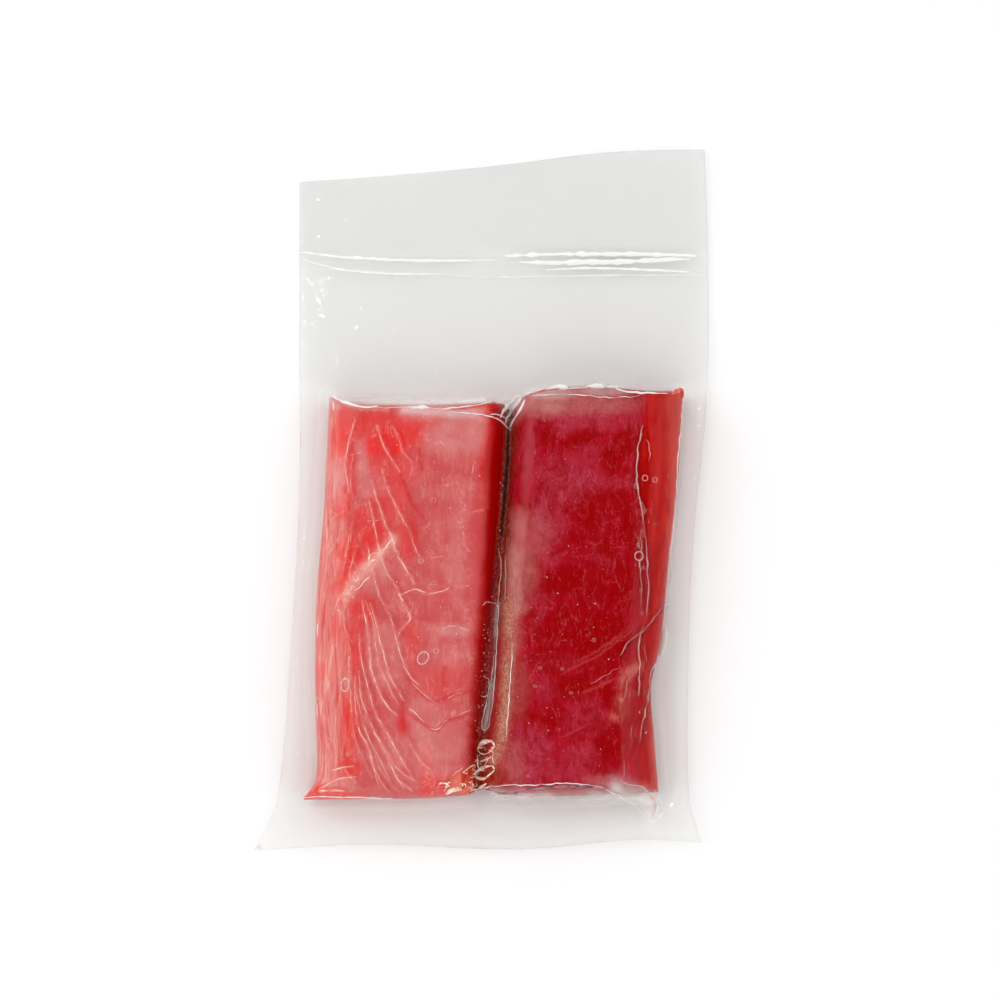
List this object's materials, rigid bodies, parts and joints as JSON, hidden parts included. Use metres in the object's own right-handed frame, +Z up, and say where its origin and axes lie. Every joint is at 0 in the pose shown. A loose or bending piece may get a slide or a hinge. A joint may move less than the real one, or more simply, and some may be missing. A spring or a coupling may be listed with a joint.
{
  "type": "vacuum-packed tuna fillets",
  "caption": "Clear vacuum pouch lying flat, with raw tuna fillet portions side by side inside, a crimped seal and an empty header.",
  "frame": {"origin": "on the floor under the centre of the pouch's plan box", "axes": "+X across the pouch to the right, +Y along it from the foot to the open mouth, +Z up from the floor"},
  "size_m": [0.158, 0.25, 0.023],
  "materials": {
    "film": "clear glossy plastic film",
    "pale_tuna": "moist pink fish meat with white seams",
    "dark_tuna": "moist deep red fish meat"
  },
  "bodies": {
    "root": {"film_back": "film", "film_front": "film", "fillet_left": "pale_tuna", "fillet_right": "dark_tuna"}
  },
  "joints": []
}
